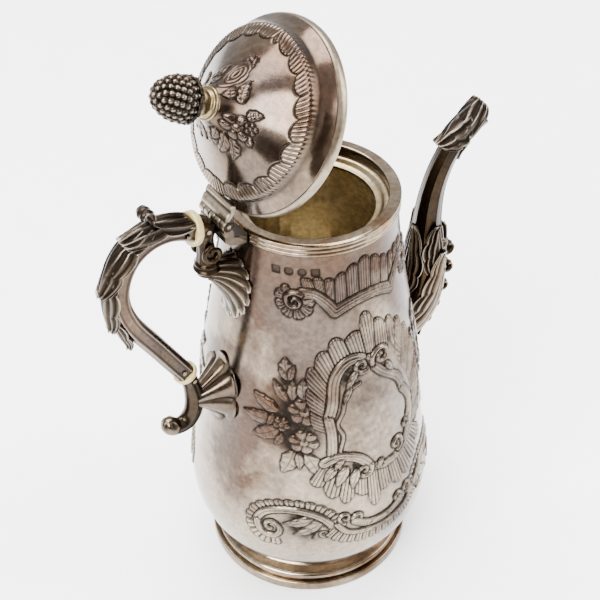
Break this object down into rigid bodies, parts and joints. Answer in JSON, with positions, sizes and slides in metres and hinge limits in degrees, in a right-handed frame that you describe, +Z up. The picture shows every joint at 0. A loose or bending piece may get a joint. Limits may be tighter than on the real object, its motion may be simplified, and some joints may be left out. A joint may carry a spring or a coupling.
{
  "type": "coffee pot",
  "caption": "Pear-shaped silver coffee pot with a hinged domed lid, swan-neck spout and side handle with ivory insulators, for serving hot drinks.",
  "frame": {"origin": "centre of the foot, on the surface that the pot stands on", "axes": "+Z up, +X towards the spout, -X towards the handle and the lid's hinge, lid standing open"},
  "size_m": [0.192, 0.1114, 0.2843],
  "materials": {
    "silver": "chased and polished silver with patchy tarnish",
    "dark_silver": "cast silver, dark tarnish in the hollows",
    "gilt_silver": "warm yellowed silver",
    "ivory": "polished, yellowed"
  },
  "bodies": {
    "pot": {"body_shell": "silver", "rim_moulding": "silver", "mouth_bezel": "gilt_silver", "foot_pedestal": "silver", "foot_rim": "silver", "spout_left_half": "dark_silver", "spout_right_half": "dark_silver", "handle_left_half": "dark_silver", "handle_right_half": "dark_silver", "thumb_leaf": "dark_silver", "upper_insulator": "ivory", "lower_insulator": "ivory", "upper_socket": "dark_silver", "upper_shell_mount": "dark_silver", "lower_scroll": "dark_silver", "lower_mount": "silver", "upper_grip_pin": "dark_silver", "upper_socket_pin": "dark_silver", "lower_grip_pin": "dark_silver", "lower_socket_pin": "dark_silver", "hinge_body_leaf": "silver", "hinge_pin": "silver"},
    "lid": {"hinge_lid_leaf": "silver", "lid_dome": "silver", "lid_edge_moulding": "silver", "lid_bezel": "gilt_silver", "finial_stem": "gilt_silver", "finial_calyx": "dark_silver", "finial_fruit": "dark_silver", "finial_nut": "silver"}
  },
  "joints": [
    {"name": "lid_hinge", "type": "hinge", "parent": "pot", "child": "lid", "pos_m": [-0.0457, 0, 0.2117], "axis": [0, -1, 0], "range_deg": [-60, 40]}
  ]
}
